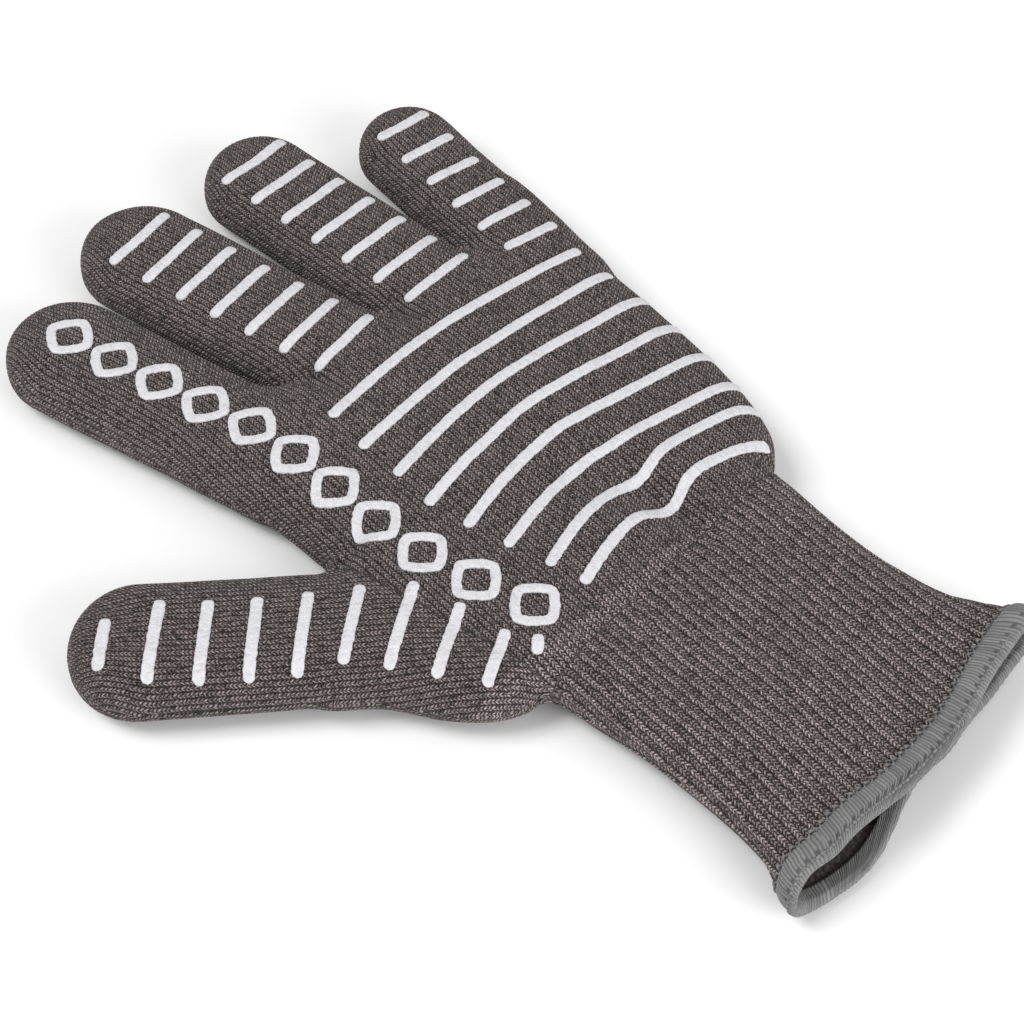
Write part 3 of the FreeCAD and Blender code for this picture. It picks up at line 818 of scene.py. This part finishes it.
def liner_material():
    """Soft lining with specks of pale lint."""
    graph = Graph("cotton_knit", roughness=0.95, sheen=0.3, specular=0.1)
    place = graph.place()
    loops = graph.noise(place, 900.0, 3.0)
    lint = graph.noise(place, 260.0, 2.0)
    color = graph.ramp(loops, [(0.3, grey(0.02)), (0.72, grey(0.11))])
    fluff = graph.times(graph.minus(lint, 0.66, clamp=True), 6.0, clamp=True)
    color = graph.mix("MIX", fluff, color, (0.45, 0.43, 0.41, 1))
    return graph.finish(color, loops, distance=0.0006)


def silicone_material():
    """White print, thin and grey in places over the hollows of the knit."""
    graph = Graph("silicone_print", roughness=0.42, specular=0.35)
    height, random, _ = stitch(graph)
    grain = graph.noise(graph.place(), 1800.0, 3.0)
    thin = graph.times(graph.minus(random, 0.55, clamp=True), 1.6)
    thin = graph.times(thin, graph.minus(1.0, height))
    thin = graph.times(thin, graph.fit(grain, 2.0, -0.5, clamp=True))
    color = graph.mix("MIX", thin, (0.66, 0.655, 0.68, 1), (0.22, 0.21, 0.215, 1))
    cloudy = graph.fit(grain, 0.5, 0.75)
    color = graph.darken(color, cloudy)
    lift = graph.fit(grain, 0.6, graph.times(height, 0.3))
    return graph.finish(color, lift, distance=0.0003)


def thread_material():
    """Overlock thread: the strands are geometry, the tone varies from strand to strand, and painted shade
    darkens the grooves between the strands.
    """
    graph = Graph("binding_thread", roughness=0.6, sheen=0.2, specular=0.4)
    along, hole, _ = graph.attribute("knit")
    strand = graph.speckle(graph.vector(graph.floor(along), 0.0))
    fray = graph.noise(graph.place(), 1400.0, 3.0)
    level = graph.fit(strand, 0.35, graph.fit(fray, 0.5, 0.05))
    ridge = graph.math("ABSOLUTE", graph.math("SINE", graph.times(along, math.pi)))
    color = graph.ramp(level, [(0.0, grey(0.09, 0.1)), (1.0, grey(0.30, 0.05)), (0.5, grey(0.185, 0.05))])
    # painted shade: darker between the thread ridges, down to a quarter
    shade = graph.fit(graph.power(ridge, 0.6), 0.75, 0.25)
    # darker still at the needle holes
    shade = graph.times(shade, graph.fit(hole, -0.85, 1.0, clamp=True))
    color = graph.darken(color, shade)
    return graph.finish(color, fray, distance=0.0002)


KNIT = knit_material("aramid_knit", 0.007, 0.014, 0.039, 0.30)
KNIT_RIB = knit_material("aramid_rib", 0.022, 0.054, 0.122, 0.42)
LINER = liner_material()
SILICONE = silicone_material()
THREAD = thread_material()


# ---- shell and liner
def shell_finish(name):
    return (KNIT_RIB, "aramid_rib") if name == "cuff" else (KNIT, "aramid_knit")


def build_shell():
    points, quads = surface_net(GRID)
    knit = knit_coordinates(points[:, 0], points[:, 1])
    normal = gradient(points)[1]
    points = points + normal * (relief(knit) - KNIT_SINK)[:, None]
    layer_pieces("knit", points, quads, knit, shell_finish, "shell")


def build_liner():
    points, quads = surface_net(LINER_GRID, inset=LINER_INSET)
    turned = quads[:, ::-1]  # the liner faces inwards
    layer_pieces("liner", points, turned, None, lambda name: (LINER, "cotton_knit"), "liner")


# ---- silicone print
STRIPE_PITCH = 13.3
STRIPE_WIDTH = 3.4
PRINT_HEIGHT = 0.6
PRINT_SINK = 0.7  # how far the print reaches into the knit
PRINT_WOBBLE = 0.15  # raggedness of its edges
RING_POINTS = 20
DIGIT_STRIPE_POINTS = 90
PAST_WRIST = -50  # a digit's stripe further back than this from its knuckle is left in place at the wrist
PALM_STRIPE_POINTS = 260


def palm_shift(x, y):
    """The print on the palm is dragged towards the wrist in the furrow."""
    return -3.4 * bump_at(x, y, (44.5, -45), 7.5, 18, 0)


def bead(name, path, width, closed=False, digit=None):
    """A printed line of silicone along a plan path, lying on the knit, with rounded ends."""
    path = np.array(path, float)
    if closed:
        tangent = np.roll(path, -1, 0) - np.roll(path, 1, 0)
    else:
        tangent = np.gradient(path, axis=0)
    tangent /= np.linalg.norm(tangent, axis=1, keepdims=True)
    left = np.stack([-tangent[:, 1], tangent[:, 0]], 1)
    half = np.full(len(path), width / 2)
    run = np.concatenate([[0], np.cumsum(np.linalg.norm(np.diff(path, axis=0), axis=1))])
    if not closed:
        to_end = np.minimum(run, run[-1] - run)
        cap = np.clip(1 - to_end / (width / 2), 0, 1)
        half = half * np.sqrt(np.clip(1 - cap**2, 0.0004, 1))
    angles = np.linspace(0, 2 * math.pi, RING_POINTS, endpoint=False)
    c, s = np.cos(angles), np.sin(angles)
    across = np.sign(c) * np.abs(c) ** 0.5
    up = np.where(s > 0, PRINT_HEIGHT * np.abs(s) ** 0.6, -PRINT_SINK * np.abs(s))
    edge = half[:, None] * across
    x = path[:, :1] + left[:, :1] * edge
    y = path[:, 1:] + left[:, 1:] * edge
    ragged = PRINT_WOBBLE * (noise(x, y, 1.0, 21) + 0.6 * noise(x, y, 0.6, 22))
    push = ragged * np.abs(across) ** 3 * np.sign(across) * np.minimum(1, half[:, None])
    x, y = x + left[:, :1] * push, y + left[:, 1:] * push
    side, length = digit.local(x, y) if digit else (x, y)
    knit = (side / WALE, length / COURSE, np.zeros_like(x))
    normal = slope(x, y)
    fade = np.minimum(1, half / (width / 2))[:, None]
    lift = up * fade + 0.12 * relief(knit) * (up > 0)
    points = np.stack([x, y, top_height(x, y)], -1) + normal * lift[:, :, None]
    # the same quads turned over, each still starting at its own row
    quads = np.roll(tube_quads(*points.shape[:2], closed)[:, ::-1], 1, 1)
    knit = [part.ravel() for part in knit]
    piece = new_mesh(name, points, quads, SILICONE, "silicone_print", knit)
    if not closed:
        tidy_normals(piece, fill=True)
    return piece


def follow(piece, digit, low, high):
    """Rides a print piece that spans low to high along a digit with the hand or a digit's base or tip; across
    the knuckle or middle hinge it stays in place.
    """
    start, end = KNUCKLE_ZONES[digit.name]
    if high < start:
        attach(piece, "hand")
    elif low < end and (low + high) / 2 < digit_split(digit):
        follow_knuckle(piece, digit)
    elif high < digit.hinge - MIDDLE_REACH:
        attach(piece, f"{digit.name}_base")
    elif low > digit.hinge + MIDDLE_REACH:
        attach(piece, f"{digit.name}_tip")
    else:
        follow_middle(piece, digit)


def stripe_on_digit(name, digit, length, side, reach, slant=0.0, bow=0.0):
    """A stripe across a digit; slant turns its far side back towards the hand, bow sags its middle."""
    t = np.linspace(-1, 1, DIGIT_STRIPE_POINTS)
    sides = side + t * reach / 2
    lengths = length - slant * t * reach / 2 - bow * (1 - t**2)
    piece = bead(name, np.stack(digit.world(sides, lengths), 1), STRIPE_WIDTH, digit=digit)
    half = STRIPE_WIDTH / 2 + abs(slant) * reach / 2
    if length > PAST_WRIST:
        follow(piece, digit, length - half, length + half)
    else:
        follow_wrist(piece)
    return piece


# each finger's number of stripes, their length and how far their middle sags
FINGER_PRINT = {"middle": (7, 27.0, 0.5), "ring": (7, 27.0, 1.0), "little": (6, 20.0, 0.8)}


def build_finger_stripes():
    for name, (count, reach, bow) in FINGER_PRINT.items():
        for number in range(count):
            length = (number - 1.5) * STRIPE_PITCH
            node = f"{name}_stripe_{number + 1}"
            piece = stripe_on_digit(f"print_{node}", digits[name], length + 0.5, 0.0, reach, bow=bow)
            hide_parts(node)


# each thumb stripe from tip to wrist: its middle's place across the thumb, its length, its slant, and how
# far it lies ahead of its even spacing
THUMB_PRINT = [
    (-3.5, 16.5, 0.12, 0.5),
    (-3.5, 26.5, 0.14, 0.0),
    (-4.5, 26.5, 0.12, 0.0),
    (-4.5, 26.5, 0.12, 0.0),
    (-4.0, 26.5, 0.16, 0.0),
    (-2.5, 25.5, 0.24, 0.0),
    (-4.0, 27.5, 0.32, 0.0),
    (-10.0, 23.5, 0.36, 1.0),
    (-16.5, 17.0, 0.40, 2.0),
    (-13.5, 6.0, 0.15, 4.0),
]
THUMB_NODES = {0: "thumb_stripes_tip", 2: "thumb_stripes_base", 4: "thumb_stripes_root"}


def build_thumb_stripes():
    thumb = digits["thumb"]
    for number, (side, reach, slant, ahead) in enumerate(THUMB_PRINT):
        length = (3.5 - number) * STRIPE_PITCH + ahead
        name = f"print_thumb_stripe_{number + 1}"
        piece = stripe_on_digit(name, thumb, length, side, reach, slant)
        if number in THUMB_NODES:
            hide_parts(THUMB_NODES[number])


# each palm stripe from the fingers to the wrist: its two ends, the height of its crest, how far it falls
# back on the thumb's side and on the far side, and how late the far side falls
PALM_PRINT = [
    (-5.4, 96.5, 46.0, 5.2, 3.3, 2.0),
    (-7.0, 97.5, 30.8, 5.2, 0.8, 2.0),
    (-6.2, 98.5, 18.1, 6.6, 2.8, 1.3),
    (-6.8, 98.0, 5.2, 7.6, 4.4, 1.1),
    (-4.0, 97.5, -7.2, 8.4, 6.5, 1.0),
    (-0.5, 96.0, -20.6, 7.6, 7.4, 1.1),
    (3.4, 90.5, -33.0, 8.0, 5.6, 3.6),
    (6.1, 82.5, -44.4, 7.5, 5.6, 3.0),
]
PALM_CREST = 40.0  # how far across the palm the stripes are highest


def build_palm_stripes():
    for number, (start, end, crest, thumb_fall, far_fall, late) in enumerate(PALM_PRINT):
        x = np.linspace(start, end, PALM_STRIPE_POINTS)
        thumb_side = np.clip((PALM_CREST - x) / (PALM_CREST - start), 0, 1)
        far_side = np.clip((x - PALM_CREST) / (end - PALM_CREST), 0, 1)
        y = crest - thumb_fall * thumb_side**1.6 - far_fall * far_side**late
        y = y + palm_shift(x, y)
        piece = bead(f"print_palm_stripe_{number + 1}", np.stack([x, y], 1), STRIPE_WIDTH)
        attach(piece, "hand")
        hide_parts(f"palm_stripe_{number + 1}")


MARK_PITCH = 17.0
MARK_SIDE = 9.2
MARK_STROKE = 3.0
PALM_MARKS = [-21.5, -21.0, -20.5, -18.5, -14.0, -8.0]
PALM_MARK_TOP = 37.3


def diamond_path(across, along, centre):
    """Outline of an open diamond with softly rounded corners, standing on a point."""
    half = MARK_SIDE / math.sqrt(2)
    t = np.linspace(0, 2 * math.pi, 144, endpoint=False)
    c, s = np.cos(t), np.sin(t)
    scale = half / (np.abs(c) ** 1.3 + np.abs(s) ** 1.3) ** (1 / 1.3)
    offset = np.outer(c * scale, across) + np.outer(s * scale, along)
    return offset + np.array(centre)


def build_marks():
    index = digits["index"]
    nodes = {0: "index_marks_tip", 2: "index_marks_base"}
    for number in range(5):
        length = (2.5 - number) * MARK_PITCH
        path = diamond_path(index.across, index.along, index.world(0, length))
        piece = bead(f"print_index_mark_{number + 1}", path, MARK_STROKE, closed=True, digit=index)
        reach = MARK_SIDE / math.sqrt(2) + MARK_STROKE / 2
        follow(piece, index, length - reach, length + reach)
        if number in nodes:
            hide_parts(nodes[number])
    for number, x in enumerate(PALM_MARKS):
        centre = (x, PALM_MARK_TOP - MARK_PITCH * number)
        path = diamond_path(np.array((1.0, 0.0)), np.array((0.0, 1.0)), centre)
        piece = bead(f"print_palm_mark_{number + 1}", path, MARK_STROKE, closed=True)
        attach(piece, "hand")
        if number == 0:
            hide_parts("index_marks_palm")


# ---- bound rim
THREAD_PITCH = 0.92
THREAD_SAMPLES = 8  # points across each thread
BAND = 6.4  # how far the overlock reaches up the outside
BAND_INSIDE = 3.4
BAND_OUT = 0.95  # thickness of the overlock on the fabric
WALL_DEPTH = 2.0  # shell and liner together at the rim
NEEDLE_THREADS = 3  # threads between two needle holes
HOLES_BACK = 1.3  # the row of needle holes, back from the rim
HOLE_DEPTH = 0.5
RIDGE_HEIGHT = 0.26
MOUTH_MIDDLE = 33.0  # how far across the cuff its mouth has its middle
MOUTH_REACH = (-45.0, 112.0)
FLAT_LONG, EDGE_LONG = 78.0, 17.0  # a layer's flat stretch, and each quarter turn at its sides


def find_x(depth_wanted, y, right):
    """Where the outline's depth has the wanted value, near its left or right side."""
    near = np.full(y.shape, MOUTH_MIDDLE)
    away = np.where(right, MOUTH_REACH[1], MOUTH_REACH[0])
    for _ in range(26):
        half = (near + away) / 2
        deeper = sample("depth", half, y) > depth_wanted
        near, away = np.where(deeper, half, near), np.where(deeper, away, half)
    return (near + away) / 2


def build_binding():
    """Overlock stitches round the rim: a folded band whose every thread is a ridge."""
    around = 2 * FLAT_LONG + 4 * EDGE_LONG
    samples = int(around / THREAD_PITCH) * THREAD_SAMPLES
    place = np.arange(samples) / samples * around
    starts = np.cumsum([0, FLAT_LONG, EDGE_LONG, EDGE_LONG, FLAT_LONG, EDGE_LONG, EDGE_LONG])
    stage = np.searchsorted(starts, place, side="right") - 1
    share = (place - starts[stage]) / np.diff(starts)[stage]
    # stages: upper flat left to right, right edge down to the side, on to the bottom, lower flat, left edge
    upper = np.isin(stage, (0, 1, 5)).astype(float)
    right = np.isin(stage, (1, 2))
    on_edge = ~np.isin(stage, (0, 3))
    quarter = math.pi / 2
    leaving, arriving = np.isin(stage, (1, 4)), np.isin(stage, (2, 5))
    angle = np.select([leaving, arriving], [share * quarter, (1 - share) * quarter], 0)
    flat_share = np.where(stage == 3, 1 - share, share)
    blend_upper = np.where(on_edge, 0.5 + (upper - 0.5) * np.cos(angle), upper)

    def mouth(backs):
        """Points and outward normals of the cuff's outside at each distance back from the rim."""
        round_mouth = (angle, flat_share, right, upper, blend_upper, on_edge)
        base = np.stack([rim_at(*round_mouth, back) for back in backs], 1)
        run = np.roll(base, -THREAD_SAMPLES, 0) - np.roll(base, THREAD_SAMPLES, 0)
        cuffward = np.array([-RIM_SLOPE, 1.0, 0.0]) / math.hypot(1, RIM_SLOPE)
        normal = np.cross(run, cuffward)
        normal /= np.linalg.norm(normal, axis=-1, keepdims=True)
        return base, normal if normal[samples // 6, 0, 2] > 0 else -normal

    backs, off, ridge = np.array(band_profile()).T
    base, normal = mouth(backs)
    thread = place / THREAD_PITCH
    slant = backs * 0.10
    waver = 0.14 * noise(place[:, None] / 3, slant[None, :] * 8, 1.0, 31)
    phase = thread[:, None] + slant[None, :] + waver
    ridge_height = np.abs(np.sin(math.pi * phase)) ** 0.8
    lump = 0.9 * np.exp(-(((place - FLAT_LONG - 6) / 9) ** 2))[:, None] * (off > 0)
    uneven = 0.12 * noise(place[:, None] / 4, off[None, :] * 2, 1.0, 33)
    distance = off[None, :] + ridge[None, :] * (RIDGE_HEIGHT * ridge_height + uneven) + lump
    needle = np.abs(np.sin(math.pi * phase / NEEDLE_THREADS)) ** 10
    hole = needle * np.exp(-(((backs - HOLES_BACK) / 0.5) ** 2)) * (ridge > 0)
    points = base + normal * (distance - HOLE_DEPTH * hole)[:, :, None]
    quads = tube_quads(*points.shape[:2])
    knit = [phase.ravel(), hole.ravel(), np.zeros(phase.size)]
    piece = new_mesh("overlock_rim", points, quads, THREAD, "binding_thread", knit)
    tidy_normals(piece)
    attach(piece, "cuff")
    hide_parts("cuff_binding")
    for name, back, out, size, sway in CHAINS:
        chain(name, mouth([back]), out, size, sway, place)


# chain stitches along the band: name, distance back from the rim, distance outwards, thread radius, sway
CHAINS = (
    ("overlock_chain_upper", BAND + 0.1, 0.75, 0.4, 0.7),
    ("overlock_chain_lower", 0.3, BAND_OUT + 0.2, 0.3, 0.12),
    ("overlock_edge_thread", -1.2, -0.6, 0.26, 0.08),
)
CHAIN_PITCH = 2.6
CHAIN_SIDES = 8


def chain(name, mouth, out, size, reach, place):
    """A line of looped thread: a tube that swells, dips and sways once per stitch."""
    base, normal = (part[::2, 0] for part in mouth)
    turn = place[::2] / CHAIN_PITCH * 2 * math.pi
    ahead = np.roll(base, -2, 0) - np.roll(base, 2, 0)
    ahead /= np.linalg.norm(ahead, axis=1, keepdims=True)
    side = np.cross(ahead, normal)
    sway = reach * np.sin(turn) + 0.08 * noise(place[::2] / 3, place[::2] * 0, 1.0, 41)
    centre = base + normal * (out + 0.4 * reach * np.cos(2 * turn))[:, None] + side * sway[:, None]
    angles = np.linspace(0, 2 * math.pi, CHAIN_SIDES, endpoint=False)
    radius = size * (1 + 0.3 * np.abs(np.sin(turn)))
    outwards = normal[:, None] * np.cos(angles)[None, :, None]
    sideways = side[:, None] * np.sin(angles)[None, :, None]
    ring = outwards + sideways
    points = centre[:, None] + ring * radius[:, None, None]
    quads = tube_quads(*points.shape[:2])
    steps = np.repeat(turn / math.pi, CHAIN_SIDES)
    knit = [steps, np.zeros(steps.shape), np.zeros(steps.shape)]
    piece = new_mesh(name, points, quads, THREAD, "binding_thread", knit)
    tidy_normals(piece)
    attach(piece, "cuff")


def band_profile():
    """The band's closed section: distance back from the rim, offset outwards, share of thread relief."""
    puff = 0.5
    outside = []
    for s in np.linspace(0, BAND, 14):
        off = BAND_OUT * min(1, 0.35 + s * 0.8) + puff * math.sin(math.pi * s / BAND)
        outside.append((BAND - s, off, min(1.0, 0.5 + s)))
    radius = (BAND_OUT + WALL_DEPTH + BAND_OUT) / 2
    turn = [
        (-radius * 0.75 * math.sin(a), BAND_OUT - radius + radius * math.cos(a), 1.0)
        for a in np.linspace(0, math.pi, 9)[1:-1]
    ]
    inner = BAND_OUT - 2 * radius
    inside = [(s, inner, -0.8) for s in np.linspace(0, BAND_INSIDE, 8)]
    # back through the wall, so that the section closes inside the fabric
    under = -WALL_DEPTH + 0.2
    core = [(BAND_INSIDE, under, 0.0), (0.8, under, 0.0), (0.8, -0.3, 0.0), (BAND, -0.4, 0.0)]
    return outside + turn + inside + core


def rim_at(angle, share, right, upper, blend_upper, on_edge, back):
    """Points of the cuff's outside, back millimetres from the rim, round the whole mouth."""
    x = np.full(angle.shape, MOUTH_MIDDLE)
    a = np.clip(np.sin(angle), 0, 1) ** (2 / ROUNDNESS)
    b = np.where(on_edge, np.clip(np.cos(angle), 0, 1) ** (2 / ROUNDNESS), 1.0)
    for _ in range(4):
        y = rim_line(x, blend_upper) + back
        edge = sample("edge", x, y)
        sides = find_x(edge * (1 - a), y, right)
        left_end = find_x(edge, y, np.zeros_like(right))
        right_end = find_x(edge, y, np.ones_like(right))
        x = np.where(on_edge, sides, left_end + (right_end - left_end) * share)
    y = rim_line(x, blend_upper) + back
    reach = np.where(upper > 0.5, sample("high", x, y), -sample("low", x, y))
    z = sample("middle", x, y) + reach * b
    return np.stack([x, y, z], -1)


# ---- stage, light and camera
# in metres
FLOOR_REACH = 6.0
FLOOR_DROP = 0.0004  # how far the floor lies below height zero
WORLD_STRENGTH = 0.54
LIGHTS = (  # name, place, size, power
    ("key", (-0.7, 0.5, 1.25), 0.7, 13.0),
    ("fill", (0.15, -1.3, 0.55), 0.9, 13.0),
)
LIGHT_TARGET = (0.02, 0.0, 0.0)
CAMERA_TARGET = (0.02145, -0.007, 0.0)
CAMERA_SIDE = (-0.4384, -0.4701, 0.7660)
CAMERA_DISTANCE = 0.7012


def aim(thing, towards):
    """Turns a light or a camera to look along a direction."""
    thing.rotation_mode = "QUATERNION"
    thing.rotation_quaternion = towards.to_track_quat("-Z", "Y")


def build_stage():
    mesh = bpy.data.meshes.new("floor")
    corners = [(-1, -1), (1, -1), (1, 1), (-1, 1)]
    mesh.from_pydata([(x * FLOOR_REACH, y * FLOOR_REACH, 0) for x, y in corners], [], [(0, 1, 2, 3)])
    floor = add_object("floor", mesh)
    material = bpy.data.materials.new("floor")
    material.use_nodes = True
    shader = material.node_tree.nodes["Principled BSDF"]
    shader.inputs["Base Color"].default_value = (0.93, 0.93, 0.93, 1)
    shader.inputs["Roughness"].default_value = 0.9
    shader.inputs["Specular IOR Level"].default_value = 0.1
    mesh.materials.append(material)
    floor.location.z = -FLOOR_DROP

    world = bpy.data.worlds.new("studio")
    bpy.context.scene.world = world
    world.use_nodes = True
    background = world.node_tree.nodes["Background"]
    background.inputs["Color"].default_value = (1, 1, 1, 1)
    background.inputs["Strength"].default_value = WORLD_STRENGTH

    for name, place, size, power in LIGHTS:
        light = bpy.data.lights.new(name, "AREA")
        light.shape = "SQUARE"
        light.size = size
        light.energy = power
        lamp = add_object(name, light)
        lamp.location = place
        aim(lamp, Vector(np.subtract(LIGHT_TARGET, place)))
    bpy.context.scene.view_settings.view_transform = "Standard"


def build_camera():
    data = bpy.data.cameras.new("camera")
    data.lens = 85
    data.sensor_width = 36
    camera = add_object("camera", data)
    back = Vector(CAMERA_SIDE)
    camera.location = Vector(CAMERA_TARGET) + back * CAMERA_DISTANCE
    aim(camera, -back)
    bpy.context.scene.camera = camera


build_shell()
build_liner()
build_palm_stripes()
build_finger_stripes()
build_thumb_stripes()
build_marks()
build_binding()
build_stage()
build_camera()
